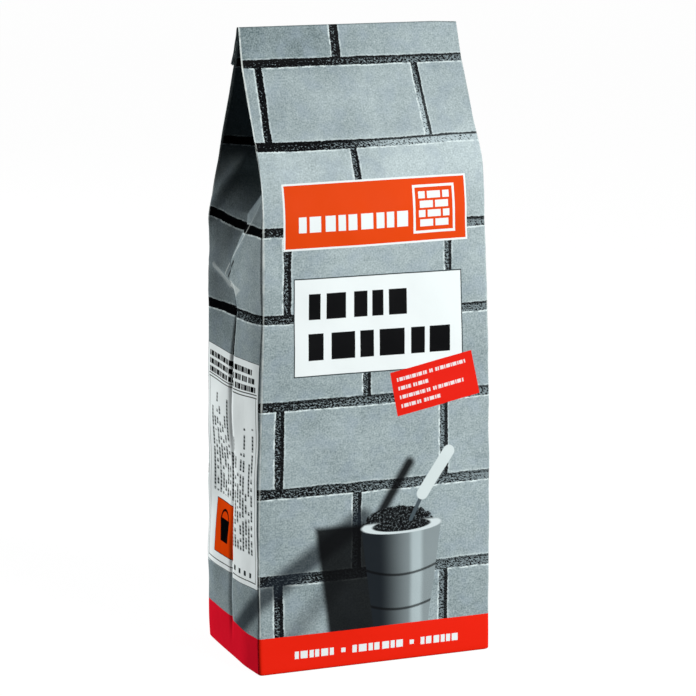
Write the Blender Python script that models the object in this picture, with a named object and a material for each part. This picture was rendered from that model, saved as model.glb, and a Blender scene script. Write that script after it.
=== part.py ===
"""A small bag of cement: one paper bag with a block bottom and side gussets, standing filled and closed.

The bag is one closed solid. Its front faces -Y, and it stands on z = 0. Level outlines are lofted from the
bottom to the ridge, and the mouth's strip, which is folded over to the back, is joined on along the ridge.
"""

import math

import bmesh
import bpy
import numpy as np
from mathutils import Matrix

MM = 0.001

# Driving dimensions, in millimetres
HEIGHT = 248.0
BASE_WIDTH = 96.6
SHOULDER_WIDTH = 91.8
RIDGE_WIDTH = 90.8
DEPTH = 59.2  # over the upright edges, without the panels' bulge
GUSSET_HALF = DEPTH / 2  # paper from an upright edge to the middle crease of the side

# Heights
TAPER_START = 40.0
SHOULDER = 186.0  # where the side's slanting creases meet the upright edges
CREASE_MEETING = SHOULDER - GUSSET_HALF  # these creases run at 45 degrees
STRIP_FOOT = 233.5  # where the closed strip of the mouth begins
RIDGE = HEIGHT - 1.6  # top of the lofted part, under the fold

# The roof's half depth over the front and back edges
ROOF_POINT = (206.0, 20.0)  # height, half depth
STRIP_HALF_DEPTH = 4.8
RIDGE_HALF_DEPTH = 1.1
SHOULDER_RADIUS = 50.0

# Softness of the filled paper
FRONT_BULGE = 1.0
SIDE_BULGE = 1.3
EDGE_RADIUS = 2.6
RIDGE_EDGE_RADIUS = 0.4
BOTTOM_RADIUS = 1.5
CREASE_GROOVE = 0.5  # depth of the side's middle crease below the gusset
CREASE_FOOT = (4.0, 20.0)  # heights between which this groove fades in
CREASE_HALF_WIDTH = 0.9
RIDGE_CREASE_HALF_WIDTH = 0.25

# The strip of the mouth, folded over to the back
FLAP_THICKNESS = 1.0
FLAP_FOOT = 233.6
FLAP_FOOT_Y = 6.9  # outer face at its lower edge
FOLD_RADIUS = 1.5
FLAP_WIDTH = RIDGE_WIDTH + 0.6

# Points of an outline and of its height
FRONT_STEPS = 6
CORNER_STEPS = 3
BODY_LEVELS = 9
SHOULDER_LEVELS = 8
ROOF_LEVELS = 7
STRIP_LEVELS = 3
FOLD_STEPS = 6

PAPER_COLOUR = (0.46, 0.51, 0.50, 1.0)
PAPER_ROUGHNESS = 0.6


def clear_scene():
    for thing in list(bpy.data.objects):
        bpy.data.objects.remove(thing, do_unlink=True)


def smooth(a, b, x):
    """0 below a, 1 above b, and a smooth rise between them."""
    t = min(max((x - a) / (b - a), 0.0), 1.0)
    return t * t * (3 - 2 * t)


def half_width(z):
    """Half the width over the upright edges: it narrows from the base to the shoulder and on to the ridge."""
    if z < SHOULDER:
        share = max(z - TAPER_START, 0.0) / (SHOULDER - TAPER_START)
        return (BASE_WIDTH + (SHOULDER_WIDTH - BASE_WIDTH) * share) / 2
    share = (z - SHOULDER) / (RIDGE - SHOULDER)
    return (SHOULDER_WIDTH + (RIDGE_WIDTH - SHOULDER_WIDTH) * share) / 2


def half_depth(z):
    """Half the depth over the upright edges: upright, a round shoulder, the roof and the steeper strip."""
    upright = DEPTH / 2
    slope = (ROOF_POINT[1] - STRIP_HALF_DEPTH) / (STRIP_FOOT - ROOF_POINT[0])
    bend = ROOF_POINT[0] - (upright - ROOF_POINT[1]) / slope
    angle = math.atan(slope)
    tangent = SHOULDER_RADIUS * math.tan(angle / 2)
    arc_start = bend - tangent
    arc_end = bend + tangent * math.cos(angle)
    if z <= arc_start:
        return upright
    if z < arc_end:
        rise = z - arc_start
        return upright - SHOULDER_RADIUS + math.sqrt(SHOULDER_RADIUS**2 - rise**2)
    if z <= STRIP_FOOT:
        return ROOF_POINT[1] + slope * (ROOF_POINT[0] - z)
    share = (z - STRIP_FOOT) / (RIDGE - STRIP_FOOT)
    return STRIP_HALF_DEPTH + (RIDGE_HALF_DEPTH - STRIP_HALF_DEPTH) * share


def gusset_depth(z):
    """How far the side's middle crease lies inside the upright edges.

    Above the shoulder the paper from an edge to the crease keeps its length, so the depth is the other leg
    of a right-angled triangle. Below, it fades to the shallow groove of the crease."""
    if z < CREASE_MEETING:
        return CREASE_GROOVE * smooth(*CREASE_FOOT, z)
    upper = max(z, SHOULDER)
    depth = math.sqrt(GUSSET_HALF**2 - half_depth(upper) ** 2)
    if z >= SHOULDER:
        return depth
    share = (z - CREASE_MEETING) / (SHOULDER - CREASE_MEETING)
    return CREASE_GROOVE + (depth - CREASE_GROOVE) * share


def bulge(z, most):
    """The panels' bulge: none at the base, full over the body, and gone at the strip."""
    return most * smooth(0, 30, z) * (1 - smooth(SHOULDER, STRIP_FOOT, z))


def quarter_outline(z):
    """The level outline's quarter from the middle of the front to the middle of the +X side."""
    wide, deep = half_width(z), half_depth(z)
    closing = smooth(SHOULDER, RIDGE, z)
    radius = EDGE_RADIUS + (RIDGE_EDGE_RADIUS - EDGE_RADIUS) * closing
    inset = BOTTOM_RADIUS - math.sqrt(max(BOTTOM_RADIUS**2 - max(BOTTOM_RADIUS - z, 0) ** 2, 0))
    wide, deep = wide - inset, deep - inset
    groove = CREASE_HALF_WIDTH + (RIDGE_CREASE_HALF_WIDTH - CREASE_HALF_WIDTH) * closing
    front, side = bulge(z, FRONT_BULGE), bulge(z, SIDE_BULGE)
    points = []
    for x in np.linspace(0, wide - radius, FRONT_STEPS, endpoint=False):
        points.append((x, -deep - front * (1 - (x / wide) ** 2)))
    for angle in np.linspace(-math.pi / 2, 0, CORNER_STEPS + 1):
        points.append((wide - radius + radius * math.cos(angle), radius - deep + radius * math.sin(angle)))
    reach = min(max(z - CREASE_MEETING, 2 * groove), 0.97 * (deep - radius))
    swell = side * (1 - (reach / deep) ** 2)
    points.append((wide + 0.75 * swell, (reach + deep - radius) / -2))
    points.append((wide + swell, -reach))
    points.append((wide + swell - gusset_depth(z), -groove))
    return points


def outline(z):
    """The whole level outline, anticlockwise seen from above, mirrored from its quarter."""
    quarter = quarter_outline(z)
    right = quarter + [(x, -y) for x, y in reversed(quarter)]
    left = [(-x, -y) for x, y in right]
    # The halves share the middle points of the front and back.
    return right + left[1:-1]


def levels():
    """Heights of the outlines: close together where the form turns."""
    bottom = BOTTOM_RADIUS * (1 - np.cos(np.linspace(0, math.pi / 2, 4)))
    body = np.linspace(BOTTOM_RADIUS, CREASE_MEETING, BODY_LEVELS)[1:]
    shoulder = np.linspace(CREASE_MEETING, SHOULDER, SHOULDER_LEVELS)[1:]
    roof = np.linspace(SHOULDER, STRIP_FOOT, ROOF_LEVELS)[1:]
    strip = np.linspace(STRIP_FOOT, RIDGE, STRIP_LEVELS)[1:]
    return [*bottom, *body, *shoulder, *roof, *strip]


def paper_material():
    material = bpy.data.materials.new("printed_paper")
    material.use_nodes = True
    shader = material.node_tree.nodes["Principled BSDF"]
    shader.inputs["Base Color"].default_value = PAPER_COLOUR
    shader.inputs["Roughness"].default_value = PAPER_ROUGHNESS
    shader.inputs["Metallic"].default_value = 0.0
    return material


def add_object(name, bm):
    mesh = bpy.data.meshes.new(name)
    bm.to_mesh(mesh)
    bm.free()
    thing = bpy.data.objects.new(name, mesh)
    bpy.context.collection.objects.link(thing)
    return thing


def lofted_bag():
    """The bag's own form: level outlines joined ring to ring, closed below and above."""
    bm = bmesh.new()
    rings = []
    for z in levels():
        rings.append([bm.verts.new((x * MM, y * MM, z * MM)) for x, y in outline(z)])
    for low, high in zip(rings, rings[1:]):
        for i, corner in enumerate(low):
            after = (i + 1) % len(low)
            bm.faces.new((corner, low[after], high[after], high[i]))
    bm.faces.new(list(reversed(rings[0])))
    bm.faces.new(rings[-1])
    bmesh.ops.triangulate(bm, faces=[f for f in bm.faces if len(f.verts) > 4])
    bmesh.ops.recalc_face_normals(bm, faces=bm.faces)
    return add_object("paper_bag", bm)


def folded_strip():
    """The mouth's strip: a section of the fold and the flap behind it, extruded over the ridge's width."""
    centre = (0.35, HEIGHT - FOLD_RADIUS)
    lean = math.atan2(FLAP_FOOT_Y - centre[0] - FOLD_RADIUS, centre[1] - FLAP_FOOT)
    section = []
    for angle in np.linspace(math.pi, -lean, FOLD_STEPS + 1):
        section.append((centre[0] + FOLD_RADIUS * math.cos(angle), centre[1] + FOLD_RADIUS * math.sin(angle)))
    across = FLAP_THICKNESS * math.cos(lean)
    section.append((FLAP_FOOT_Y, FLAP_FOOT))
    section.append((FLAP_FOOT_Y - across, FLAP_FOOT - FLAP_THICKNESS * math.sin(lean)))
    section.append((centre[0] + FOLD_RADIUS - across, centre[1] - FOLD_RADIUS))
    section.append((centre[0] - 0.6 * FOLD_RADIUS, centre[1] - FOLD_RADIUS))
    bm = bmesh.new()
    half = FLAP_WIDTH / 2
    end = bm.faces.new([bm.verts.new((-half * MM, y * MM, z * MM)) for y, z in section])
    grown = bmesh.ops.extrude_face_region(bm, geom=[end])
    moved = [v for v in grown["geom"] if isinstance(v, bmesh.types.BMVert)]
    bmesh.ops.transform(bm, matrix=Matrix.Translation((2 * half * MM, 0, 0)), verts=moved)
    bmesh.ops.recalc_face_normals(bm, faces=bm.faces)
    return add_object("folded_strip", bm)


def main():
    clear_scene()
    bag = lofted_bag()
    strip = folded_strip()
    strip.hide_render = True
    strip.display_type = "WIRE"
    union = bag.modifiers.new("fold", "BOOLEAN")
    union.operation = "UNION"
    union.solver = "EXACT"
    union.object = strip
    bag.data.materials.append(paper_material())
    bag.data.shade_smooth()
    bag.data.set_sharp_from_angle(angle=math.radians(20))


main()
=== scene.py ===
"""A small bag of cement in printed paper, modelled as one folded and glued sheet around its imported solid.

Lengths are millimetres, and MM turns them into Blender's metres. The bag's front faces -Y.
A place on the printed sheet is (u, v): u is the way round the bag from the middle of the front, positive
to the right, and v is the way up the front from the bottom edge. The UV map Sheet holds both, in
decimetres.
"""
import math

import bpy
import numpy as np
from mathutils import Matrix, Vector


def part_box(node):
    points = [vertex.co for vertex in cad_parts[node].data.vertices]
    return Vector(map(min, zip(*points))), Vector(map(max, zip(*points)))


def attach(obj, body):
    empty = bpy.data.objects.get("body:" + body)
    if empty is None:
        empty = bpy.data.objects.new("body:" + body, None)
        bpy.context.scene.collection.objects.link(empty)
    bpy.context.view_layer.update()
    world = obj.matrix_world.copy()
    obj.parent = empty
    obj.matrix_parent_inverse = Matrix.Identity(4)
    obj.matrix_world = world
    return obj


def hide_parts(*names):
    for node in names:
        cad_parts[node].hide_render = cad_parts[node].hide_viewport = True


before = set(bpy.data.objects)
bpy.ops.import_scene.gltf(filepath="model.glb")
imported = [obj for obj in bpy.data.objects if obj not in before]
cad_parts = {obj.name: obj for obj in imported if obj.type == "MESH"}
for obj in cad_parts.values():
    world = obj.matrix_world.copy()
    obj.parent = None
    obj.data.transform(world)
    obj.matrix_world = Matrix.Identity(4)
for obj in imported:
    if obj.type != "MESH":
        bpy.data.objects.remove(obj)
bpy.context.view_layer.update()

MM = 0.001
SHEET_MAP = "Sheet"
MAP_UNIT = 100.0  # millimetres of sheet to one unit of the UV map

# The bag's driving sizes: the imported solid's reach, and the bulges that it has beyond its folded edges
LOW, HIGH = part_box("paper_bag")
HEIGHT = HIGH.z / MM
FRONT_BULGE = 1.0
SIDE_BULGE = 1.3
PANEL = HIGH.x / MM - SIDE_BULGE  # half the front's width at the base, over its folded edges
GUSSET = HIGH.y / MM - FRONT_BULGE  # sheet from a folded edge to the side's middle crease

# The same places along the sheet, measured from the middle of the front
CREASE = PANEL + GUSSET
BACK_EDGE = PANEL + 2 * GUSSET
SEAM = 2 * CREASE

# Widths and heights of the outline
SHOULDER_HALF_WIDTH = 45.9
RIDGE_HALF_WIDTH = 45.4
TAPER_START = 40.0
SHOULDER = 187.2  # where the side's slanting creases meet the upright edges
STRIP_FOOT = 233.5  # where the closed strip of the mouth begins
ROOF_POINT = (206.0, 20.0)  # height, half depth
STRIP_HALF_DEPTH = 4.8
SHOULDER_RADIUS = 50.0
BOTTOM_RADIUS = 0.9

# The mouth: the flattened tube turns over the ridge and lies behind the strip as a flap
STRIP_HALF_THICK = 0.4
TURN_RADIUS = 0.55  # of the tube's middle
TURN_START = HEIGHT - TURN_RADIUS - STRIP_HALF_THICK
FLAP_LENGTH = 14.8
FLAP_LEAN = math.radians(19.5)

# The side gussets
PINCH_FOOT = 150.3  # where the middle crease starts to sink in
PINCH_BOW = 1.42
SPARE_SHEET = 9.0  # how far past its taut depth the middle crease may sink at its foot
SLANT_FOOT = SHOULDER - GUSSET  # the slanting creases run at 45 degrees
# Heights between which the left side's back crease runs from the middle to the edge
BACK_CREASE = (149.2, 154.4)

# Rows of the mesh on the base, round the ridge's turn and down the flap
BASE_ROWS = 30
TURN_ROWS = 17
FLAP_ROWS = 14


def clear_of(a, b, x):
    """0 below a, 1 above b, and a smooth rise between them."""
    t = np.clip((x - a) / (b - a), 0, 1)
    return t * t * (3 - 2 * t)


def hill(x, middle, width):
    """1 at the middle, falling off smoothly over about the width."""
    return np.exp(-(((x - middle) / width) ** 2))


def through(knots, x):
    """A smooth curve through the knots, level beyond the first and the last: a cubic between each two,
    whose slope at a knot is that between its neighbours."""
    place, value = np.array(knots, float).T
    slope = np.gradient(value, place)
    i = np.clip(np.searchsorted(place, x) - 1, 0, len(place) - 2)
    step = place[i + 1] - place[i]
    t = np.clip((x - place[i]) / step, 0, 1)
    rise = t * t * (3 - 2 * t)
    ease = slope[i] * t * (1 - t) ** 2 - slope[i + 1] * t * t * (1 - t)
    return value[i] + (value[i + 1] - value[i]) * rise + ease * step


# Shape of the bag

def half_depth(z):
    """Half the depth over the upright edges: upright, a round shoulder, a straight roof, then the steeper
    strip."""
    upright = GUSSET
    slope = (ROOF_POINT[1] - STRIP_HALF_DEPTH) / (STRIP_FOOT - ROOF_POINT[0])
    bend = ROOF_POINT[0] - (upright - ROOF_POINT[1]) / slope
    angle = math.atan(slope)
    tangent = SHOULDER_RADIUS * math.tan(angle / 2)
    arc_start, arc_end = bend - tangent, bend + tangent * math.cos(angle)
    rise = np.clip(z - arc_start, 0, arc_end - arc_start)
    shoulder = upright - SHOULDER_RADIUS + np.sqrt(SHOULDER_RADIUS**2 - rise**2)
    roof = ROOF_POINT[1] + slope * (ROOF_POINT[0] - z)
    strip_share = (z - STRIP_FOOT) / (TURN_START - STRIP_FOOT)
    strip = STRIP_HALF_DEPTH + (STRIP_HALF_THICK - STRIP_HALF_DEPTH) * np.clip(strip_share, 0, 1)
    return np.where(z < arc_end, shoulder, np.where(z < STRIP_FOOT, roof, strip))


def half_width(z):
    """Half the width over the upright edges: it narrows from base to shoulder and on to the ridge."""
    taper = np.clip((z - TAPER_START) / (SHOULDER - TAPER_START), 0, 1)
    closing = np.clip((z - SHOULDER) / (TURN_START - SHOULDER), 0, 1)
    body = PANEL + (SHOULDER_HALF_WIDTH - PANEL) * taper
    return body + (RIDGE_HALF_WIDTH - SHOULDER_HALF_WIDTH) * closing


def pinch(z):
    """How deep the side's middle crease lies inside the folded edges: from nothing at its foot to the
    whole gusset at the strip, as a sine of the height's share to a power, and never more than the sheet
    allows."""
    share = np.clip((z - PINCH_FOOT) / (STRIP_FOOT - PINCH_FOOT), 0, 1)
    wanted = GUSSET * np.sin(math.pi / 2 * share**PINCH_BOW)
    taut = np.sqrt(GUSSET**2 - np.minimum(half_depth(z), GUSSET) ** 2)
    return np.minimum(wanted, taut + SPARE_SHEET * (1 - share))


def stations():
    """Places of the mesh's columns round the sheet, from the seam at the back: close together at the
    folds, and two more beside the seam."""
    fold, crease = 2.4, 1.4
    beside_seam = SEAM - np.array([0.3, 0.6])
    quarter = np.concatenate([
        np.linspace(0, PANEL - fold, 36, endpoint=False),
        np.linspace(PANEL - fold, PANEL + fold, 12, endpoint=False),
        np.linspace(PANEL + fold, CREASE - crease, 24, endpoint=False),
        np.linspace(CREASE - crease, CREASE, 5),
    ])
    half = np.union1d(np.concatenate([quarter, SEAM - quarter]).round(4), beside_seam.round(4))
    return np.concatenate([-half[:0:-1], half[:-1]])


def wall_heights():
    """Heights of the mesh's rows up the walls: a round bottom edge, then closer rows where the gussets
    turn in and closer ones still along the strip."""
    gusset_from, strip_from = 112, STRIP_FOOT - 2
    bottom = BOTTOM_RADIUS * (1 - np.cos(np.linspace(0, math.pi / 2, 5)))
    return np.concatenate([
        bottom[:-1],
        np.linspace(BOTTOM_RADIUS, gusset_from, 70, endpoint=False),
        np.linspace(gusset_from, strip_from, 126, endpoint=False),
        np.linspace(strip_from, TURN_START, 20),
    ])


def rounding(along, reach):
    """How much a kink at 0 is cut short when the path is averaged over reach on either side of each
    point."""
    return np.maximum(reach - np.abs(along), 0) ** 2 / (4 * reach)


def outline(u, z, wide, deep, sunk):
    """Level outline of the folded sheet: x to the right and y to the back, for every row (down) and
    column (across).

    Each quarter runs straight from the panel's middle to the folded edge, flush along the side to the
    slanting crease, then inward to the middle crease. Each kink is rounded as by a moving average."""
    left, front = u < 0, np.abs(u) <= CREASE
    q = np.where(front, np.abs(u), SEAM - np.abs(u))
    slant = np.clip(z - SLANT_FOOT, 0, GUSSET) + 0.7 * clear_of(149, 153, z)
    crease_low, crease_high = BACK_CREASE
    back_slant = GUSSET * np.clip((z - crease_low) / (crease_high - crease_low), 0, 1)
    turned_in = np.minimum(np.where(left & ~front, back_slant, slant), GUSSET)
    flush = GUSSET - turned_in
    stretch = np.maximum(turned_in, 1e-3)
    down = deep / GUSSET  # how fast y falls along the side's flush stretch
    d = np.clip(q - PANEL, 0, GUSSET)
    share = np.clip((d - flush) / stretch, 0, 1)
    inner = deep - flush * down
    x = np.where(q < PANEL, wide * q / PANEL, wide - sunk * share)
    y = np.where(q < PANEL, deep, np.where(d < flush, deep - d * down, inner * (1 - share)))
    slope_x, slope_y = -sunk / stretch, -inner / stretch
    edge_soft = 0.4 + 1.0 * (1 - clear_of(150, 200, z))
    slant_soft, crease_soft = 0.8, 0.5
    flat_start = flush > 1e-3
    first_x = np.where(flat_start, 0.0, slope_x)
    first_y = np.where(flat_start, -down, slope_y)
    cut = rounding(q - PANEL, edge_soft)
    x = x + (first_x - wide / PANEL) * cut
    y = y + first_y * cut
    cut = rounding(d - flush, slant_soft) * flat_start * (turned_in > 1e-3)
    x = x + slope_x * cut
    y = y + (slope_y + down) * cut
    x = x - 2 * slope_x * rounding(CREASE - q, crease_soft) * (turned_in > 1e-3)
    return x * np.sign(u), y * np.where(front, -1, 1)


# How far the filled bag pushes its upright edges out from their straight run: height, then distance
FRONT_RIGHT_SWELLS = (
    (0, 0.75), (15, 0.65), (35, 0.45), (50, 0.8), (65, 1.45), (80, 1.8), (95, 1.3), (112, 1.1),
    (125, 0.35), (135, -0.3), (150, -0.9), (165, -0.75), (173, -1.0), (183, -0.35), (190, 0.2),
    (197, 0.75), (207, 0.35), (220, 0.65), (248, 0.45),
)
FRONT_LEFT_SWELLS = (
    (0, 0.1), (20, 0.5), (60, 0.45), (120, 0.5), (150, 0.35), (175, 0.2), (187, 0.0), (235, 0.0),
    (248, -0.35),
)
BACK_LEFT_SWELLS = (
    (0, 0.2), (8, 0.6), (23, 0.2), (33, 0.5), (45, 0.15), (60, 0.45), (80, 0.05), (98, 0.1), (110, 0.6),
    (122, 1.0), (134, 1.6), (146, 2.3), (152, 2.2), (158, 1.65), (164, 1.6), (170, 1.2), (176, 0.15),
    (186, -0.3), (195, -1.2), (206, -1.0), (220, -0.9), (230, -0.5), (248, -0.35),
)
EDGE_SWELLS = (
    (PANEL, FRONT_RIGHT_SWELLS),
    (-PANEL, FRONT_LEFT_SWELLS),
    (-BACK_EDGE, BACK_LEFT_SWELLS),
)
EDGE_SWELL_REACH = 12.0  # along the sheet, to both sides of the edge

# Soft dents and swells of the left side: place to the back, height, reach both ways, depth outwards
LEFT_DENTS = (
    (13, 67, 14, 16, -1.9),
    (2, 72, 7, 14, -0.6),
    (12, 101, 15, 16, 0.8),
    (20, 36, 12, 13, 0.8),
    (-14, 88, 13, 30, 0.3),
)


def crease_place(z):
    """How far to the back of the side's middle the left middle crease lies: a little above the label, and
    most round the gusset's foot."""
    return 0.8 * clear_of(96, 130, z) + 5.4 * clear_of(139, 151, z) * (1 - clear_of(161, 184, z))


def valley(y, z):
    """How far the left side is drawn in about its middle crease: a narrow groove, and a slope that is short
    towards the front and long towards the back. Both end at a line that falls to the front, where the sheet
    comes out flush again."""
    off = y - crease_place(z)
    groove_depth = 0.7 * clear_of(4, 20, z) + 0.5 * clear_of(100, 132, z)
    groove = groove_depth * np.clip(1 - np.abs(off) / 2.2, 0, 1)
    slope_reach = np.where(off < 0, 3, 27)
    slope = 2.2 * clear_of(112, 150, z) * np.clip(1 - np.abs(off) / slope_reach, 0, 1)
    past_end = z - 145.4 - 0.225 * y
    return (groove + slope) * (1 - clear_of(-0.5, 3.2, past_end))


def soften(x, y, u, z, wide, deep):
    """The filled bag's own forms on top of the folded ones: bulged panels, the middle creases, the dents of
    the left side and the kinks of the upright edges."""
    left, front = u < 0, np.abs(u) <= CREASE
    side = (np.abs(u) > PANEL) & (np.abs(u) < BACK_EDGE)
    full = clear_of(0, 30, z) * (1 - clear_of(SHOULDER - 20, STRIP_FOOT, z))
    # The front and back bulge, and the left middle crease lies off to the back.
    y = y + np.where(side, 0, np.sign(y) * FRONT_BULGE * full * (1 - (x / wide) ** 2))
    from_crease = np.abs(np.abs(u) - CREASE)
    y = y + crease_place(z) * hill(from_crease, 0, 13) * (left & side)
    # The sides bulge below the gussets, the left one also beside its front edge low down.
    side_full = (0.72 + 0.28 * clear_of(0, 30, z)) * (1 - clear_of(118, 158, z))
    out = np.where(side, SIDE_BULGE * side_full * (1 - (y / deep) ** 2), 0)
    out = out + 0.5 * hill(y, -15, 9) * (1 - clear_of(6, 30, z)) * (side & left)
    # The middle creases: a plain groove on the right, and the valley on the left
    groove = 0.7 * clear_of(4, 20, z) * hill(from_crease, 0, 1.3) * (1 - clear_of(146, 152, z))
    out = out - np.where(left, valley(y, z) * side, groove)
    for dent_y, dent_z, reach_y, reach_z, height in LEFT_DENTS:
        out = out + height * hill(y, dent_y, reach_y) * hill(z, dent_z, reach_z) * (side & left)
    # A soft ridge across the back half of the left recess
    line = (z - 174) - 1.45 * (BACK_EDGE + u)
    out = out + np.where(side & left & ~front, 0.9 * hill(line, 0, 7) * clear_of(160, 176, z), 0)
    for edge, knots in EDGE_SWELLS:
        out = out + through(knots, z) * hill(u, edge, EDGE_SWELL_REACH)
    # Small waves along the front edges
    out = out + 0.45 * hill(np.abs(u), PANEL, 9) * np.sin(z / 23 + u / 40) * clear_of(5, 40, z) * full
    return x + np.sign(u) * out, y


def slack(place, size, seed):
    """Soft waves of about the given length in any direction: a sum of seeded sines, mostly between -1
    and 1."""
    draw = np.random.default_rng(seed)
    total = np.zeros(place.shape[:-1])
    waves = 9
    for _ in range(waves):
        way = draw.normal(size=3)
        wave = way / np.linalg.norm(way) * 2 * math.pi / (size * draw.uniform(0.7, 1.6))
        total += np.sin(place @ wave + draw.uniform(0, 2 * math.pi))
    return total / math.sqrt(waves)


def base_layers(x, y):
    """Height of the folded bottom: the front flap lies lowest, over the back flap, and both over the ends'
    turned-in corners, whose edges run at 45 degrees."""
    paper = 0.22
    over_back = clear_of(-0.2, 0.2, y - 4.5)
    corner = np.abs(x) - (PANEL - GUSSET) - np.abs(y)
    over_corner = clear_of(-0.3, 0.3, corner - 6)
    return paper * over_back + paper * over_corner + 0.15 * clear_of(0, 1, corner / 18 - 0.4)


def bag_grid():
    """Points (row, column, xyz), their places u and v on the sheet, and the number of rows on the base.

    The rows start inside the base, pass its edge, climb the walls level by level, then follow the tube's
    middle line over the ridge and down behind it. Across the tube every row is the same outline, which
    above the ridge is the flattened one, turned square to the middle line."""
    u = stations()[None, :]
    z = wall_heights()[:, None]
    wide, deep = half_width(z), half_depth(z)
    x, y = outline(u, z, wide, deep, pinch(z))
    x, y = soften(x, y, u, z, wide, deep)
    below = np.maximum(BOTTOM_RADIUS - z, 0)
    inset = BOTTOM_RADIUS - np.sqrt(np.maximum(BOTTOM_RADIUS**2 - below**2, 0))
    x, y = x * (1 - inset / PANEL), y * (1 - inset / GUSSET)
    walls = np.stack([x, y, np.broadcast_to(z, x.shape)], -1)
    climb = np.hypot(np.diff(z[:, 0], prepend=0.0), np.diff(deep[:, 0], prepend=deep[0, 0]))
    wall_v = np.cumsum(climb)

    shares = np.linspace(0, 1, BASE_ROWS)[1:-1, None]
    base = walls[:1] * np.stack([shares, shares, shares * 0], -1)
    base[..., 2] = base_layers(base[..., 0], base[..., 1]) * (1 - shares**12)
    base_v = -(1 - shares[:, 0]) * GUSSET

    turn_end = math.pi - FLAP_LEAN
    turns = np.linspace(0, turn_end, TURN_ROWS)[1:]
    runs = np.linspace(0, FLAP_LENGTH, FLAP_ROWS)[1:]
    turn = np.concatenate([turns, np.full(len(runs), turn_end)])[:, None]
    run = np.concatenate([np.zeros(len(turns)), runs])[:, None]
    middle_y = TURN_RADIUS * (1 - np.cos(turn)) + run * np.sin(turn_end)
    flat_x, flat_y = walls[-1, :, 0][None, :], walls[-1, :, 1][None, :]
    # The ridge's right end droops a little.
    droop = 0.4 * clear_of(34, 47, flat_x) * clear_of(0, 1, turn)
    middle_z = TURN_START + TURN_RADIUS * np.sin(turn) + run * np.cos(turn_end) - droop
    # The flap's ends waver a little, and its foot lies off to the left.
    shift = 0.12 * np.sin(run * 0.55 + 0.6) * clear_of(0, 4, run) - 0.75 * clear_of(8, FLAP_LENGTH, run)
    # Its layers open a little on the way.
    spread = 1 + 0.25 * clear_of(0, FLAP_LENGTH, run)
    fold = np.stack([
        flat_x * (1 + shift * np.sign(u) / RIDGE_HALF_WIDTH),
        middle_y + flat_y * spread * np.cos(turn),
        middle_z - flat_y * spread * np.sin(turn),
    ], -1)
    fold_v = wall_v[-1] + turn[:, 0] * (TURN_RADIUS + STRIP_HALF_THICK) + run[:, 0]
    points = np.concatenate([base, walls, fold])
    return points, u[0], np.concatenate([base_v, wall_v, fold_v]), len(base)


def outward(points):
    """Unit normals of the grid: cross products of its differences round the bag and up it."""
    around = np.roll(points, -1, 1) - np.roll(points, 1, 1)
    up = np.gradient(points, axis=0)
    normal = np.cross(around, up)
    return normal / np.maximum(np.linalg.norm(normal, axis=-1, keepdims=True), 1e-9)


def worn(points, base_rows):
    """The grid with the filled sheet's slack: long soft waves and shorter ones along the normals, fading
    at the base and in the roof. The strip's layers wave together, to the front and back."""
    z = points[..., 2]
    amount = clear_of(3, 25, z) * (1 - clear_of(SHOULDER + 18, STRIP_FOOT, z))
    amount[:base_rows] = 0
    swell = 0.42 * slack(points, 62, 4) + 0.16 * slack(points, 21, 11)
    moved = points + outward(points) * (swell * amount)[..., None]
    together = 0.12 * slack(points * (1, 0, 1), 30, 7)
    moved[..., 1] += together * clear_of(SHOULDER + 10, STRIP_FOOT, z)
    return moved


def sheet_places(u, v):
    """Where every mesh corner's print lies: the station and the row's height, with the small jog that the
    left side's middle crease swallows low down, the sag of the sheet in that side's recess and its dip over
    the label."""
    across, up = u[None, :], v[:, None]
    jog = 1.2 * clear_of(0.2, 1.2, across + CREASE - 0.4) * (1 - clear_of(6 - CREASE, -PANEL, across))
    jog = jog * (1 - clear_of(105, 121, up)) * (up > 0)
    sag = clear_of(-BACK_EDGE, 2 - CREASE, across) * (1 - clear_of(2 - CREASE, -56, across))
    sag = (2.4 * sag - 0.9 * hill(across, -BACK_EDGE, 9)) * hill(up, 172, 17)
    deep = np.clip((-PANEL - across) / GUSSET, 0, 1) * np.clip((across + BACK_EDGE + 3) / 3, 0, 1)
    deep = 2.5 * deep * hill(up, 207, 15)
    dip = 0.9 * np.clip(1 - np.abs(across + CREASE) / 26, 0, 1) * hill(up, 121, 22)
    places = up + jog + sag + deep + dip
    return np.broadcast_to(across, places.shape), places


def add_mesh(name, points, faces, materials, face_material=None):
    mesh = bpy.data.meshes.new(name)
    mesh.from_pydata((np.asarray(points) * MM).tolist(), [], faces)
    for material in materials:
        mesh.materials.append(material)
    if face_material is not None:
        mesh.polygons.foreach_set("material_index", np.asarray(face_material, np.int32))
    mesh.shade_smooth()
    thing = bpy.data.objects.new(name, mesh)
    bpy.context.scene.collection.objects.link(thing)
    return thing


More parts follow.
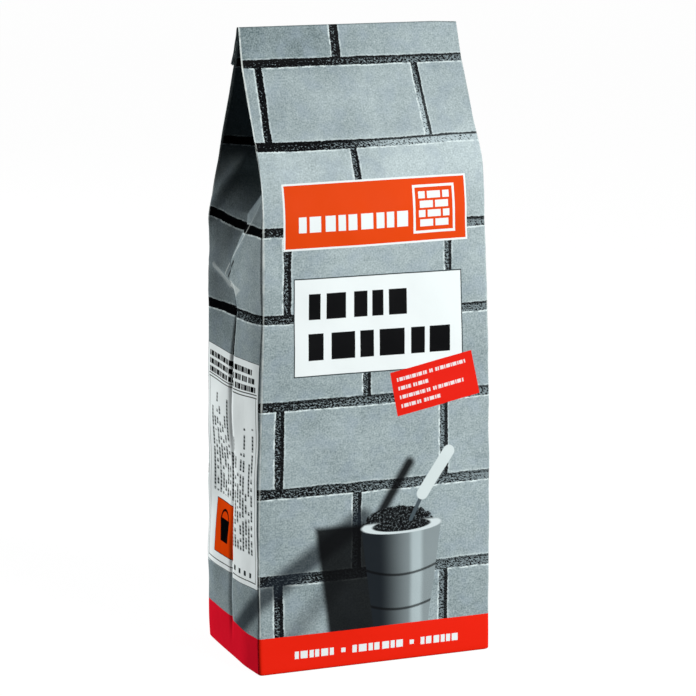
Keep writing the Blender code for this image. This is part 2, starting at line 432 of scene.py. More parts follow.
def bag(paper, cut_edge):
    """The whole bag as one closed surface: the grid's quads, a fan that closes the base and a cap on the
    mouth."""
    points, u, v, base_rows = bag_grid()
    points = worn(points, base_rows)
    rows, columns = points.shape[:2]
    place_u, place_v = sheet_places(u, v)
    number = np.arange(rows * columns).reshape(rows, columns)
    after = np.roll(number, -1, 1)
    quads = np.stack([number[:-1], after[:-1], after[1:], number[1:]], -1).reshape(-1, 4)
    pole = rows * columns
    fan = [(pole, b, a) for a, b in zip(number[0].tolist(), after[0].tolist())]
    cap = number[-1].tolist()
    centre = points[0].mean(0)
    vertices = np.concatenate([points.reshape(-1, 3), centre[None, :]])
    faces = quads.tolist() + fan + [cap]
    wears = [0] * (len(quads) + len(fan)) + [1]
    thing = add_mesh("printed_bag", vertices, faces, [paper, cut_edge], wears)

    closing_u = np.concatenate([place_u[:, 1:], np.full((rows, 1), SEAM)], 1)
    closing_v = np.roll(place_v, -1, 1)
    corner_u = np.stack([place_u[:-1], closing_u[:-1], closing_u[1:], place_u[1:]], -1).ravel()
    corner_v = np.stack([place_v[:-1], closing_v[:-1], closing_v[1:], place_v[1:]], -1).ravel()
    fan_u = np.stack([place_u[0], closing_u[0], place_u[0]], -1).ravel()
    fan_v = np.full(3 * columns, -GUSSET)
    flat = np.concatenate([
        np.stack([corner_u, corner_v], -1),
        np.stack([fan_u, fan_v], -1),
        np.stack([place_u[-1], place_v[-1]], -1),
    ]) / MAP_UNIT
    layer = thing.data.uv_layers.new(name=SHEET_MAP)
    layer.uv.foreach_set("vector", flat.astype(np.float32).ravel())
    return thing


# Shader maths

class Value:
    """One output of a material's nodes, used as a number: an expression on it adds its Math nodes."""

    def __init__(self, sheet, socket):
        self.sheet, self.socket = sheet, socket

    def math(self, operation, *others, clamp=False):
        settings = {"operation": operation, "use_clamp": clamp}
        return self.sheet.node("ShaderNodeMath", settings, (self, *others))

    def __add__(self, other):
        return self.math("ADD", other)

    def __sub__(self, other):
        return self.math("SUBTRACT", other)

    def __rsub__(self, other):
        return self.sheet.node("ShaderNodeMath", {"operation": "SUBTRACT"}, (other, self))

    def __mul__(self, other):
        return self.math("MULTIPLY", other)

    def __truediv__(self, other):
        return self.math("DIVIDE", other)

    def __abs__(self):
        return self.math("ABSOLUTE")

    def __neg__(self):
        return self.math("MULTIPLY", -1.0)

    __radd__ = __add__
    __rmul__ = __mul__

    def floor(self):
        return self.math("FLOOR")

    def fract(self):
        return self.math("FRACT")

    def least(self, other):
        return self.math("MINIMUM", other)

    def most(self, other):
        return self.math("MAXIMUM", other)

    def above(self, limit):
        return self.math("GREATER_THAN", limit)

    def rise(self, low, high):
        """0 at low, 1 at high, smooth between them and level outside; high may be the smaller one."""
        settings = {"interpolation_type": "SMOOTHSTEP", "clamp": True}
        if low > high:
            return 1 - self.sheet.node("ShaderNodeMapRange", settings, (self, high, low))
        return self.sheet.node("ShaderNodeMapRange", settings, (self, low, high))

    def within(self, soft=0.08):
        """1 where a signed distance is negative, with an edge of the given softness."""
        return self.rise(soft, -soft)

    def crown(self, middle, reach):
        """1 at the middle, falling as a parabola to 0 at the reach on either side."""
        return (1 - ((self - middle) / reach).math("POWER", 2.0)).most(0.0)


class Sheet:
    """The nodes of one material. Colours are linear, and colour() turns a colour as seen into one."""

    def __init__(self, name):
        self.material = bpy.data.materials.new(name)
        self.material.use_nodes = True
        self.tree = self.material.node_tree
        self.shader = self.tree.nodes["Principled BSDF"]

    def node(self, kind, settings=None, values=(), output=0):
        """Any node: its type, its settings, and the values or links of its inputs, by place or by name."""
        made = self.tree.nodes.new(kind)
        for name, value in (settings or {}).items():
            setattr(made, name, value)
        named = values.items() if isinstance(values, dict) else enumerate(values)
        for place, value in named:
            if isinstance(value, Value):
                self.tree.links.new(value.socket, made.inputs[place])
            else:
                made.inputs[place].default_value = value
        return Value(self, made.outputs[output])

    def place(self):
        """u and v of the sheet, in millimetres."""
        spot = self.node("ShaderNodeUVMap", {"uv_map": SHEET_MAP})
        u = self.node("ShaderNodeSeparateXYZ", values=(spot,))
        return u * MAP_UNIT, Value(self, u.socket.node.outputs[1]) * MAP_UNIT

    def vector(self, x, y):
        return self.node("ShaderNodeCombineXYZ", values=(x, y))

    def noise(self, vector, size, detail=2.0, roughness=0.5):
        """Cloudy noise of about the given grain size, in the vector's own unit, from 0 to 1."""
        values = {"Vector": vector, "Scale": 1.0 / size, "Detail": detail, "Roughness": roughness}
        return self.node("ShaderNodeTexNoise", values=values)

    def chance(self, x, y=0.0):
        """An unrelated number from 0 to 1 for every whole x and y."""
        settings = {"noise_dimensions": "2D"}
        return self.node("ShaderNodeTexWhiteNoise", settings, {"Vector": self.vector(x, y)})

    def mix(self, share, a, b):
        """Colour a where share is 0 and colour b where it is 1."""
        settings = {"data_type": "RGBA", "blend_type": "MIX", "clamp_factor": True}
        return self.node("ShaderNodeMix", settings, {0: share, 6: a, 7: b}, output=2)

    def bump(self, height, distance, below=None):
        """The normal of a relief that is distance high, in millimetres, laid over the one below."""
        values = {"Height": height, "Distance": distance * MM}
        if below is not None:
            values["Normal"] = below
        return self.node("ShaderNodeBump", values=values)

    def surface(self, **inputs):
        """Sets or links the material's inputs, by their names in small letters."""
        for name, value in inputs.items():
            socket = self.shader.inputs[name.replace("_", " ").title()]
            if isinstance(value, Value):
                self.tree.links.new(value.socket, socket)
            else:
                socket.default_value = value


def colour(red, green, blue):
    """A colour as seen, each part from 0 to 255, as linear light."""
    parts = np.array([red, green, blue]) / 255
    linear = np.where(parts > 0.04045, ((parts + 0.055) / 1.055) ** 2.4, parts / 12.92)
    return (*linear.tolist(), 1.0)


def slanted(u, v, centre, turn=0.0, lean=0.0):
    """Places across and up a panel whose rows climb by turn to the right and whose sides lean back by
    lean."""
    across, up = u - centre[0], v - centre[1]
    return across + up * lean, up - across * turn


def frame_distance(p, q, half_p, half_q):
    """Signed distance to a rectangle's edge, negative inside it."""
    return (abs(p) - half_p).most(abs(q) - half_q)


def blocks(p, q, start, end, half_height, count, fill=0.76, warp=0.0, waves=3):
    """A line of plain blocks: a count of them from start to end, whose widths a number of half waves
    varies."""
    pitch = (end - start) / (count - 1 + fill)
    wave = ((p - start) * (waves * math.pi / (end - start))).math("SINE")
    step = ((p + wave * (warp * pitch) - start) / pitch + (1 - fill) / 2).fract()
    block = (abs(step - 0.5) - fill / 2) * pitch
    middle, half = (start + end) / 2, (end - start) / 2 + 0.02
    return block.most(abs(p - middle) - half).most(abs(q) - half_height)


def stroke(u, v, start, end):
    """Distance to a straight stroke between two places."""
    run = np.subtract(end, start).astype(float)
    length2 = float(run @ run)
    du, dv = u - start[0], v - start[1]
    share = ((du * float(run[0]) + dv * float(run[1])) / length2).math("ADD", 0.0, clamp=True)
    off_u, off_v = du - share * float(run[0]), dv - share * float(run[1])
    return (off_u * off_u + off_v * off_v).math("SQRT")


# The print. Tones are of the sheet itself, as a white light would show them.

BAND_TOP = 14.9
FIRST_BED = 37.5  # middle of the lowest bed joint
COURSE = 33.9
BRICK = 68.8
ODD_START = -39.5  # a cross joint of the odd courses
EVEN_START = -6.0
BACK_SHIFT = 6.0  # how far the back's cross joints are moved along
FAR = 100.0  # moves a place out of every joint's reach

WHITE = colour(230, 238, 238)
BLACK = colour(4, 5, 7)
ORANGE = colour(220, 66, 4)
RED = colour(232, 32, 10)
# The band's red with a painted tint of the light on the left side
SIDE_RED_LIGHT_TINT = colour(212, 18, 40)
FLASH_RED = colour(222, 28, 12)
BRICK_DARK = colour(70, 90, 94)
BRICK_LIGHT = colour(204, 219, 221)
BRICK_BLUE = colour(146, 162, 176)
# Colour of the painted shade on the sides, cool and dark
PAINTED_SHADE = colour(6, 14, 27)
ARRIS = colour(222, 236, 236)
JOINT_LIGHT = colour(126, 140, 144)
JOINT_PALE = colour(178, 194, 198)
PRINT_GREY = colour(40, 48, 50)
# The pale of rubbed print and of painted highlights along the folds
WORN_AND_LIT = colour(228, 236, 232)


def bed_lift(u, v):
    """How far a bed lies above its even place: the middle courses a little, the upper ones below it. Low
    down the beds fall round the left side, and the second one from the top sags in the middle of the
    front."""
    lift = v.crown(103, 68) * 0.8 - v.rise(188, 243) * 0.8
    lift = lift + (u + PANEL).least(0.0).most(-2 * GUSSET) * 0.035 * v.rise(160, 140)
    return lift - v.crown(207, 15) * u.crown(-12, 50) * 1.1


def cross_joints(u, v, row, behind):
    """Distance to the right of the nearest cross joint, and the brick's number along its course. Odd
    courses start half a brick on from even ones, and a sine of the course's number moves each a little."""
    odd = (row * 0.5).fract() * 2
    start = (row * 1.31 + 1.55).math("SINE") * -2.33 + odd * (ODD_START - EVEN_START) + EVEN_START
    # The back has a layout of its own, counted from the seam.
    from_seam = u.above(0) * (-2 * SEAM) + u + SEAM
    along = u + behind * (from_seam - u) + behind * BACK_SHIFT
    # The left joint of the roof's full course leans.
    along = along - u.rise(-25, -35) * v.rise(205, 210) * v.rise(243, 240) * (v - 218) * 0.032
    length = (along - start) / BRICK
    cross = ((length + 0.5).fract() - 0.5) * BRICK
    # The left side has no cross joint at its back edge, and one at its middle crease only low down.
    on_side = abs(u).above(PANEL + 2) * (1 - behind)
    cross = cross + on_side * odd * u.rise(-90, -95) * FAR
    cross = cross + on_side * (1 - odd) * u.rise(-60, -65) * (v.rise(160, 165) * (FAR - 4) + 4.4)
    return cross, length.floor()


def side_painted_shade(u, v, behind):
    """How much painted shade darkens the sides: most high up, where the gussets draw in, and more in a
    side's back half than in its front half."""
    side = abs(u).rise(PANEL, PANEL + 1.5) * (1 - behind)
    back_half = abs(u).rise(CREASE - 1, CREASE + 2) * v.rise(172.5, 171)
    back_half = back_half * (v.rise(136, 141) * 0.16 + v.rise(150, 157) * 0.06 + 0.10)
    return side * (v.rise(171, 172.5) * 0.36 + v.rise(194, 204) * 0.25 + back_half + 0.18)


def brick_faces(sheet, u, v, spread, brick_tone):
    """The faces, between two greys: fine grain over middling and large blotches, a tone of each brick's
    own, and the light that drifts over the front."""
    flat = sheet.vector(u, v)
    blotch = sheet.noise(flat, 24.0, 3.0, 0.55) - 0.5
    medium = sheet.noise(flat, 3.4, 3.0, 0.6) - 0.5
    grain = (sheet.noise(flat, 0.66, 0.0) - 0.5) * 0.5 + (sheet.noise(flat, 1.6, 1.0) - 0.5) * 0.25
    # Lighter to the right and on the shoulder, darker at the top left and low down
    lit = spread.rise(-50, 55) * (v.rise(150, 195) * 0.12 + 0.03)
    upper = v.rise(232, 242) * (spread.rise(20, -30) * 0.6 + 0.4) * -0.17 + v.rise(205, 212) * -0.03
    shoulder = v.rise(182, 198) * v.rise(216, 200) * 0.14
    low = v.rise(150, 118) * -0.075
    tone = blotch * 0.44 + medium * 0.22 + grain + brick_tone * 0.07 + lit + upper + shoulder + low + 0.48
    face = sheet.mix(tone, BRICK_DARK, BRICK_LIGHT)
    return sheet.mix(sheet.noise(flat, 8.0, 2.0).rise(0.42, 0.72) * 0.3, face, BRICK_BLUE)


def speckled_joint(sheet, u, v, spread, behind, shaded):
    """Black mortar with light specks, where a slanting noise is over a limit. The share of specks grows to
    the right, is largest and palest under the roof's right half, and is small on the sides."""
    pale = v.rise(190, 200) * v.rise(232, 218) * spread.rise(-12, 16)
    limit = spread * -0.0010 + 0.525 + (sheet.noise(sheet.vector(u, v), 18.0, 1.0) - 0.5) * 0.14
    limit = limit + v.rise(150, 215) * spread.rise(15, -30) * 0.065 + v.rise(225, 235) * 0.02
    on_side = abs(u).rise(PANEL, PANEL + 2) * v.rise(150, 160) + abs(u).rise(CREASE - 3, CREASE + 1)
    limit = limit - pale * 0.07 + on_side * 0.2 * (1 - behind)
    speck = (sheet.noise(sheet.vector(u + v * 0.5, v * 1.25), 0.85, 2.0, 0.7) - limit).rise(-0.05, 0.05)
    return sheet.mix(speck * (1 - shaded * 0.9), BLACK, sheet.mix(pale, JOINT_LIGHT, JOINT_PALE))


def brick_wall(sheet, u, v):
    """The printed wall: running bond with ragged, speckled joints, black on the shaded side of each, and
    pale arrises along the bricks' edges."""
    flat = sheet.vector(u, v)
    behind = abs(u).above(BACK_EDGE)
    # Tones drift over the front only: spread is u there, and level round the rest.
    spread = u.most(-PANEL).least(PANEL) * (1 - behind)
    course = (v - bed_lift(u, v) - FIRST_BED) / COURSE
    row = course.floor()
    bed = ((course + 0.5).fract() - 0.5) * COURSE
    cross, number = cross_joints(u, v, row, behind)
    # The strip's cross joint is wider and lies a little to the left.
    top_joint = v.rise(238, 243)
    cross = cross + top_joint * 0.5

    # Distances to the joints' ragged edges, negative inside them
    ragged = (sheet.noise(flat, 0.9, 2.0, 0.6) - 0.5) * 0.9 + (sheet.noise(flat, 9.0, 1.0) - 0.5) * 0.8
    half = (v - 60) * -0.0018 + 2.0
    to_bed = abs(bed) - half + ragged - v.rise(196, 201) * v.rise(216, 211) * spread.rise(10, -20) * 0.25
    to_cross = abs(cross) - half * 0.88 + ragged - top_joint * 0.45
    in_joint = to_bed.least(to_cross).within(0.12)
    # The arrises are clearest below the beds and left of the cross joints.
    bed_arris = to_bed.rise(0.85, 0.30) * (1 - bed.above(0) * 0.6)
    cross_arris = to_cross.rise(0.85, 0.30) * (1 - cross.above(0) * 0.45)
    arris = bed_arris.most(cross_arris) * sheet.noise(flat, 2.6, 2.0).rise(0.30, 0.60)

    # Painted shade over the sides, deepest in the gussets' recesses; it also dims the arrises there
    dark = side_painted_shade(u, v, behind)
    face = brick_faces(sheet, u, v, spread, sheet.chance(row, number) - 0.5)
    face = sheet.mix(dark, face, PAINTED_SHADE)
    face = sheet.mix(arris * (1 - dark * 0.7) * 0.9, face, ARRIS)

    in_bed = to_bed.within(0.2)
    shade_bed = (bed / half).rise(0.30, 0.62) * (v.rise(60, 160) * 0.5 + 0.5)
    shade_cross = (cross / half).rise(0.02, 0.25) * (1 - in_bed)
    shaded = (shade_bed * in_bed).most(shade_cross)
    return sheet.mix(in_joint, face, speckled_joint(sheet, u, v, spread, behind, shaded))


def long_shadows(sheet, u, v, ground):
    """Soft dark streaks that fall down to the left over the wall and round the corner to the side."""
    streak = stroke(u, v, (-6.4, 59.3), (-70, 14.5)).rise(7.0, 1.5) * 0.82
    second = stroke(u, v, (-16.4, 35.2), (-38, 11.4)).rise(7.0, 0.5) * 0.4
    return sheet.mix(streak.most(second), ground, colour(22, 30, 38))


def bucket(sheet, u, v, ground):
    """A mortar bucket that stands on the red band, heaped full, with a trowel's grip leaning out of it and
    its own black shadow on the wall behind."""
    foot = (10.6, 13.0)
    p, q = u - foot[0], v - foot[1]
    tall, narrow, flare = 42.0, 11.5, 0.13
    curve = (p * p) * -0.014 + 3.0  # the round foot and hoops dip in the middle
    level = q + curve
    body = (abs(p) - q * flare - narrow).most(q - tall).most(-level)
    rim_half = narrow + flare * tall

    def oval(centre_p, centre_q, half_p, half_q):
        a, b = (p - centre_p) / half_p, (q - centre_q) / half_q
        return ((a * a + b * b).math("SQRT") - 1) * half_q

    mouth = oval(0, tall, rim_half, 3.4)
    mass = body.least(mouth)
    heap_noise = (sheet.noise(sheet.vector(u, v), 2.0, 3.0, 0.7) - 0.5) * 3.2
    heap = (oval(-1.5, tall + 0.5, rim_half - 2.2, 7.5) + heap_noise).most(tall - 0.5 - q)
    shank_end = (foot[0] + 4, foot[1] + 44)
    grip_start, grip_end = (foot[0] + 9, foot[1] + 54), (foot[0] + 20, foot[1] + 70)
    shank = stroke(u, v, shank_end, grip_start) - 0.8
    grip = stroke(u, v, grip_start, grip_end) - 2.5

    # The same outlines, moved down to the left, are the shadow.
    su, sv = u + 17, v + 3
    sp, sq = su - foot[0], sv - foot[1]
    fallen = (abs(sp + 1) - sq * flare - narrow - 0.5).most(sq - tall - 5)
    fallen = fallen.least(stroke(su, sv, shank_end, grip_end) - 2.0)
    painted = sheet.mix(fallen.rise(1.6, -1.4) * 0.97, ground, BLACK)

    round_shade = (p + q * 0.02).rise(-9, 9)
    shine = (abs(p - 6.5) - 1.2).rise(2.4, 0.0)
    hoops = (abs(level - 11) - 0.5).within(0.3).most((abs(level - 25) - 0.5).within(0.3))
    skin = sheet.mix(round_shade * 0.5 + shine * 0.35, colour(26, 32, 37), colour(184, 200, 203))
    skin = sheet.mix(hoops * 0.8, skin, BLACK)
    grit = sheet.noise(sheet.vector(u, v), 0.9, 3.0, 0.8).rise(0.5, 0.68)
    mortar = sheet.mix(grit * 0.5, BLACK, colour(150, 164, 168))
    painted = sheet.mix(mass.within(0.2), painted, skin)
    painted = sheet.mix((mouth + 0.9).within(0.2), painted, mortar)
    painted = sheet.mix(heap.within(0.25), painted, mortar)
    # The rim shows in front of the heap only.
    rim = (abs(mouth + 0.45) - 0.45).within(0.15) * (tall + 1.5 - q).rise(-0.6, 0.6)
    painted = sheet.mix(rim, painted, colour(206, 218, 220))
    painted = sheet.mix(shank.within(0.2), painted, colour(70, 82, 88))
    wood = sheet.mix((u * 0.82 - v * 0.57).rise(-20.0, -16.0), colour(206, 218, 218), colour(40, 46, 50))
    painted = sheet.mix(grip.within(0.2), painted, wood)
    return painted


def orange_panel(sheet, u, v, ground):
    """The panel over the upper front: a white border, a line of white blocks and a small framed wall."""
    p, q = slanted(u, v, (0.1, 178.8), 0.0073, 0.008)
    half_p, half_q, border = 38.9, 12.0, 0.75
    edge = frame_distance(p, q, half_p, half_q)
    painted = sheet.mix((edge - border).within(), ground, WHITE)
    painted = sheet.mix(edge.within(), painted, ORANGE)
    title = blocks(p, q + 3.1, -33.4, 13.2, 3.0, 9, 0.74, 0.16, 5)
    painted = sheet.mix(title.within(), painted, WHITE)
    # A square with a small piece of wall in it: four courses of two bricks each, every other one shifted
    a, b = p - 24.9, q - 0.1
    square = frame_distance(a, b, 9.3, 9.3)
    line = abs(square + 0.5) - 0.5
    pitch_p, pitch_q = 6.8, 3.6
    course = (b + 2 * pitch_q) / pitch_q
    shift = (course.floor() * 0.5).fract() * pitch_p
    brick_p = ((a + shift) / pitch_p).fract() * pitch_p - pitch_p / 2
    brick_q = (course.fract() - 0.5) * pitch_q
    bricks = frame_distance(brick_p, brick_q, 2.9, 1.35).most(frame_distance(a, b, pitch_p, 2 * pitch_q))
    return sheet.mix(line.least(bricks).within(), painted, WHITE)


def white_panel(sheet, u, v, ground):
    """The large panel with a thin dark edge and two lines of tall black blocks."""
    p, q = slanted(u, v, (0.97, 135.85), -0.003, 0.010)
    edge = frame_distance(p, q, 35.6, 18.65)
    painted = sheet.mix((edge - 0.45).within(), ground, colour(48, 58, 60))
    painted = sheet.mix(edge.within(), painted, WHITE)
    first = blocks(p, q - 8.0, -29.8, 11.9, 5.0, 5, 0.70, 0.17, 3)
    second = blocks(p, q + 7.6, -30.0, 30.5, 5.2, 6, 0.74, 0.14, 5)
    return sheet.mix(first.least(second).within(), painted, BLACK)


def red_flash(sheet, u, v, ground):
    """The slanting red panel over the white one's corner, with four lines of small white blocks."""
    p, q = slanted(u, v, (24.75, 110.5), 0.187, 0.177)
    painted = sheet.mix(frame_distance(p, q, 18.0, 8.95).within(), ground, FLASH_RED)
    text = None
    for line, (end, count) in enumerate(((14.6, 22), (-2.5, 9), (12.4, 20), (1.5, 11))):
        row = blocks(p, q - 5.4 + 3.6 * line, -15.6, end, 0.72, count, 0.66, 0.3, count - 2)
        text = row if text is None else text.least(row)
    return sheet.mix(text.within(0.12) * 0.85, painted, WHITE)


def red_band(sheet, u, v, ground):
    """The band round the bag's foot, with a line of white blocks on the front. On the left side it is a
    little higher, and painted cooler as a tint of the light that falls there."""
    left = u.rise(-PANEL, -PANEL - 1) * u.rise(-BACK_EDGE - 1, -BACK_EDGE)
    # The left side's cooler red is a painted tint of light
    red = sheet.mix(left, RED, SIDE_RED_LIGHT_TINT)
    painted = sheet.mix((v - BAND_TOP - left * u.rise(-55, -75) * 1.4).within(), ground, red)
    q, half_height = v - 6.9, 1.5
    text = blocks(u, q, -33.8, -17.6, half_height, 6, 0.74, 0.16, 4)
    text = text.least(blocks(u, q, -9.8, 11.6, half_height, 7, 0.74, 0.16, 5))
    text = text.least(blocks(u, q, 19.2, 35.0, half_height, 6, 0.74, 0.16, 3))
    dots = frame_distance(abs(u - 0.9) - 14.5, q, 0.9, 0.9)
    return sheet.mix(text.least(dots).within(), painted, WHITE)


def side_label(sheet, u, v, ground):
    """The left side's white panel: a frame, level and upright lines of plain blocks, and one orange
    field."""
    p, q = slanted(u, v, (-77.7, 78.0), 0.014)
    half_p, half_q = 28.2, 44.1
    edge = frame_distance(p, q, half_p, half_q)
    painted = sheet.mix((edge - 0.2).within(), ground, PRINT_GREY)
    painted = sheet.mix(edge.within(), painted, WHITE)
    # A frame line, two rules over it and three level lines of blocks
    head = 31.0
    frame_line = (abs(edge + 2.0) - 0.2).most(q - head)
    rules = abs(abs(q - head - 0.6) - 0.6) - 0.2
    ink = frame_line.least(rules.most(abs(p) - half_p + 1.2))
    for line, end in enumerate((22.0, 24.5, 25.6)):
        row = blocks(p, q - 40.4 + 3.2 * line, -26.2, end, 1.05, 21 + line, 0.74, 0.3, 14 + line)
        ink = ink.least(row)
    painted = sheet.mix(ink.within(0.12), painted, BLACK)
    # Upright lines of small blocks: each ends at its own height, and gaps break it into short runs.
    spacing = 2.95
    place = (u + 0.6) / spacing
    line = place.floor()
    across = place.fract() - 0.5
    right = u.above(-77.6)
    top = sheet.chance(line, 3.0) * 24 + 74 + (1 - right) * 6
    bottom = 63 - right * 16
    along = v / 1.5 + sheet.chance(line, 5.0) * 9
    darkness = (along.fract() - 0.5).within(0.1) * 0.35 + 0.65
    block = sheet.chance(line, along.floor()).above(0.16) * darkness
    run = sheet.noise(sheet.vector(line * 7.0, v), 4.4, 1.0).rise(0.36, 0.42)
    small = (abs(across) - 0.30).within(0.06) * (v - top).within(0.3) * (bottom - v).within(0.3)
    small = small * (abs(u + 77.3) - 23.0).within(0.1)
    painted = sheet.mix(small * block * run, painted, PRINT_GREY)
    marks = blocks(u, v - 38.6, -74.5, -56, 1.0, 4, 0.36)
    painted = sheet.mix(marks.within(), painted, PRINT_GREY)
    # The orange field and its small bucket
    a, b = slanted(u, v, (-86.4, 49.8), 0.01)
    field = frame_distance(a, b, 10.2, 10.9)
    painted = sheet.mix(field.within(), painted, ORANGE)
    pail = (abs(a) - b * 0.16 - 4.6).most(abs(b + 0.8) - 4.6)
    bail = abs((a * a + (b - 3.0) * (b - 3.0)).math("SQRT") - 4.4) - 0.5
    pail = pail.least(bail.most(3.0 - b))
    edge_line = abs(field + 0.15) - 0.15
    return sheet.mix(pail.least(edge_line).within(), painted, BLACK)


def fold_wear_and_highlights(sheet, u, v):
    """Thin pale lines along the folds, partly rubbed print and partly painted highlight where a fold
    catches
    the light: the upright edges, worn and lit; the slanting creases and the left side's short crease,
    painted highlights; a painted highlight of a lit facet before that short crease; and the edge of the
    glued lap, rubbed."""
    patchy = sheet.noise(sheet.vector(u * 0.2, v), 5.0, 3.0, 0.6).rise(0.30, 0.62)
    # The upright edges: rubbed print with a painted highlight
    edges = (abs(u - PANEL - 0.1) - 0.25).rise(0.5, 0.0) * 0.4
    edges = edges.most((abs(u + PANEL - 0.55) - 0.2).rise(0.4, 0.0) * (v.rise(120, 200) * 0.25 + 0.6))
    back_edges = (abs(abs(u) - BACK_EDGE) - 0.4).rise(1.2, 0.0) * 0.7
    # Painted highlights where the slanting creases and the left side's short crease catch the light
    slant = stroke(abs(u), v, (PANEL, SHOULDER), (CREASE - 3, SLANT_FOOT + 3)).rise(0.5, 0.05)
    slant = slant * (v.rise(180, 168) * 0.35 + 0.2)
    short = stroke(u, v, (-101, 153.0), (-86, 147.6)).rise(1.9, 0.9) * 0.20
    short = short.most(stroke(u, v, (-81.6, 156.6), (-86.2, 151.8)).rise(0.9, 0.1) * 0.35)
    # The lit facet before the short crease is a painted highlight, a parallelogram, and corner_p and
    # corner_q run from -0.5 to 0.5 across it.
    corner_u, corner_v = u + 85.7, v - 147.1
    corner_p = corner_u * 0.0645 - corner_v * 0.1109 - 0.5
    corner_q = corner_v * 0.2399 + corner_u * 0.0423 - 0.5
    corner = abs(corner_p).most(abs(corner_q)).rise(0.54, 0.46) * (corner_p * -0.14 + 0.36)
    # The lap's edge runs down the middle of the back, where the print's halves meet.
    lap = (abs(u - SEAM + 0.2) - 0.12).rise(0.2, 0.0) * 0.6
    lines = (edges.most(back_edges).most(slant).most(lap)) * (patchy * 0.7 + 0.3)
    return lines.most(short).most(corner) * v.rise(BAND_TOP, BAND_TOP + 1)


def printed_paper():
    """Coated paper with its print, worn white and given painted highlights along the folds, with a faint
    fibre and the shallow cockles of paper that has been handled."""
    sheet = Sheet("printed_paper")
    u, v = sheet.place()
    painted = brick_wall(sheet, u, v)
    painted = long_shadows(sheet, u, v, painted)
    painted = bucket(sheet, u, v, painted)
    painted = orange_panel(sheet, u, v, painted)
    painted = white_panel(sheet, u, v, painted)
    painted = red_flash(sheet, u, v, painted)
    painted = side_label(sheet, u, v, painted)
    painted = red_band(sheet, u, v, painted)
    # Pale lines along the folds: partly rubbed print, partly painted highlights
    wear_and_highlights = fold_wear_and_highlights(sheet, u, v)
    painted = sheet.mix(wear_and_highlights, painted, WORN_AND_LIT)
    # Painted shadow in the gap under the front slanting crease's lower end
    crease_gap_shadow = stroke(u, v, (-74.2, 159.0), (-80.7, 151.4)).rise(0.8, 0.25) * 0.85
    painted = sheet.mix(crease_gap_shadow, painted, BLACK)

    spot = sheet.node("ShaderNodeTexCoord", output=3)
    fibre = sheet.noise(spot, 0.45 * MM, 3.0, 0.65)
    cockle = sheet.noise(spot, 13 * MM, 3.0, 0.5)
    relief = sheet.bump(cockle, 0.28)
    relief = sheet.bump(fibre, 0.020, below=relief)
    gloss = sheet.noise(spot, 9 * MM, 2.0)
    sheet.surface(base_color=painted, roughness=gloss * 0.14 + 0.50 + wear_and_highlights * 0.2, normal=relief)
    sheet.shader.inputs["Specular IOR Level"].default_value = 0.05
    return sheet.material


def cut_paper():
    """The cut end of the mouth: raw white paper, with its layers as fine lines across the end."""
    sheet = Sheet("cut_paper")
    spot = sheet.node("ShaderNodeTexCoord", output=3)
    parts = sheet.node("ShaderNodeSeparateXYZ", values=(spot,))
    depth = Value(sheet, parts.socket.node.outputs[1]) / MM
    layer = abs((depth / 0.24).fract() - 0.5).rise(0.30, 0.48)
    fuzz = sheet.noise(spot, 0.2 * MM, 3.0, 0.7)
    tone = sheet.mix(layer * 0.8 + fuzz * 0.2, colour(216, 212, 202), colour(74, 72, 68))
    sheet.surface(base_color=tone, roughness=0.85, normal=sheet.bump(fuzz, 0.05))
    return sheet.material


# Stage, lights and camera

CAMERA_TARGET = (0.2, 0.0, 120.6)
CAMERA_DISTANCE = 1120.0
CAMERA_YAW = math.radians(21.76)  # the camera stands to the front's left and looks this far to the right
CAMERA_PITCH = math.radians(11.16)  # downwards
SENSOR = 36.0
IMAGE = 696
FOCAL_PIXELS = 2842.0


def studio_floor():
    """A pale floor that curves up into the backdrop: a profile of a flat stretch, a half circle and a
    ceiling, turned about the upright axis."""
    reach, height, level = 2600.0, 3600.0, -0.3
    t = np.linspace(0, 1, 40)
    flat = np.stack([reach * t[:-1], np.full(len(t) - 1, level)], -1)
    angle = np.linspace(-math.pi / 2, math.pi / 2, 60)[:-1]
    curve = height / 2 * np.stack([np.cos(angle), 1 + np.sin(angle)], -1)
    dome = curve + (reach, level)
    closing = np.stack([reach * (1 - t), np.full(len(t), height + level)], -1)
    profile = np.concatenate([flat[1:], dome, closing[:-1]])
    turn = np.linspace(0, 2 * math.pi, 97)[:-1]
    grid = np.stack([
        profile[:, :1] * np.cos(turn),
        profile[:, :1] * np.sin(turn),
        np.broadcast_to(profile[:, 1:], (len(profile), len(turn))),
    ], -1)
    rows, columns = grid.shape[:2]
    number = np.arange(rows * columns).reshape(rows, columns)
    after = np.roll(number, -1, 1)
    quads = np.stack([number[:-1], number[1:], after[1:], after[:-1]], -1).reshape(-1, 4).tolist()
    faces = quads + [number[0].tolist(), number[-1][::-1].tolist()]
    sheet = Sheet("pale_floor")
    sheet.surface(base_color=(0.13, 0.13, 0.13, 1.0), roughness=1.0, emission_color=(1.0, 1.0, 1.0, 1.0))
    sheet.shader.inputs["Specular IOR Level"].default_value = 0.0
    sheet.shader.inputs["Emission Strength"].default_value = 0.98
    floor = add_mesh("studio_floor", grid.reshape(-1, 3), faces, [sheet.material])
    # The stage is seen, and takes shadows, but sends no light back to the bag.
    floor.visible_diffuse = False
    floor.visible_glossy = False
    floor.visible_shadow = False


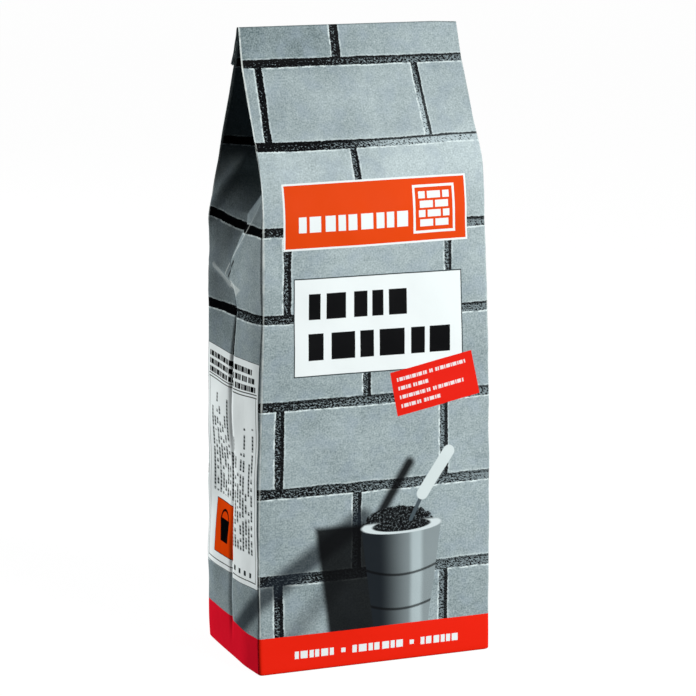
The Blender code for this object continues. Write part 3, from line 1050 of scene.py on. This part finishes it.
def softbox(name, azimuth, elevation, distance, size, watts, shine=True):
    """An area light that faces the middle of the bag. Azimuth 0 is in front of the bag and 90 to its right,
    and shine says whether its reflection shows in the paper."""
    a, e = math.radians(azimuth), math.radians(elevation)
    target = Vector((0, 0, 0.55 * HEIGHT))
    away = Vector((math.sin(a) * math.cos(e), -math.cos(a) * math.cos(e), math.sin(e)))
    data = bpy.data.lights.new(name, "AREA")
    data.shape = "RECTANGLE"
    data.size, data.size_y = size[0] * MM, size[1] * MM
    data.energy = watts
    lamp = bpy.data.objects.new(name, data)
    lamp.location = (target + away * distance) * MM
    lamp.rotation_euler = away.to_track_quat("Z", "Y").to_euler()
    lamp.visible_camera = False
    lamp.visible_glossy = shine
    bpy.context.scene.collection.objects.link(lamp)


def dim_room(strength):
    """The faint even light of the room, a little cool."""
    world = bpy.data.worlds.new("dim_room")
    bpy.context.scene.world = world
    world.use_nodes = True
    back = world.node_tree.nodes["Background"]
    back.inputs["Color"].default_value = (0.94, 0.97, 1.0, 1.0)
    back.inputs["Strength"].default_value = strength


def camera():
    """The photo's view, from a point that lies back along the heading from the target."""
    heading = Vector((
        math.sin(CAMERA_YAW) * math.cos(CAMERA_PITCH),
        math.cos(CAMERA_YAW) * math.cos(CAMERA_PITCH),
        -math.sin(CAMERA_PITCH),
    ))
    data = bpy.data.cameras.new("camera")
    data.sensor_width = SENSOR
    data.lens = SENSOR * FOCAL_PIXELS / IMAGE
    data.clip_start, data.clip_end = 0.05, 20.0
    thing = bpy.data.objects.new("camera", data)
    thing.location = (Vector(CAMERA_TARGET) - heading * CAMERA_DISTANCE) * MM
    thing.rotation_euler = (-heading).to_track_quat("Z", "Y").to_euler()
    bpy.context.scene.collection.objects.link(thing)
    bpy.context.scene.camera = thing


camera()
studio_floor()
softbox("key", 27, 13, 1300, (700, 800), 22.8)
softbox("rear_left", -153, -8, 1300, (450, 500), 31, shine=False)
dim_room(0.02)
bpy.context.scene.view_settings.view_transform = "Standard"

paper = bag(printed_paper(), cut_paper())
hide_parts("paper_bag")
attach(paper, "root")
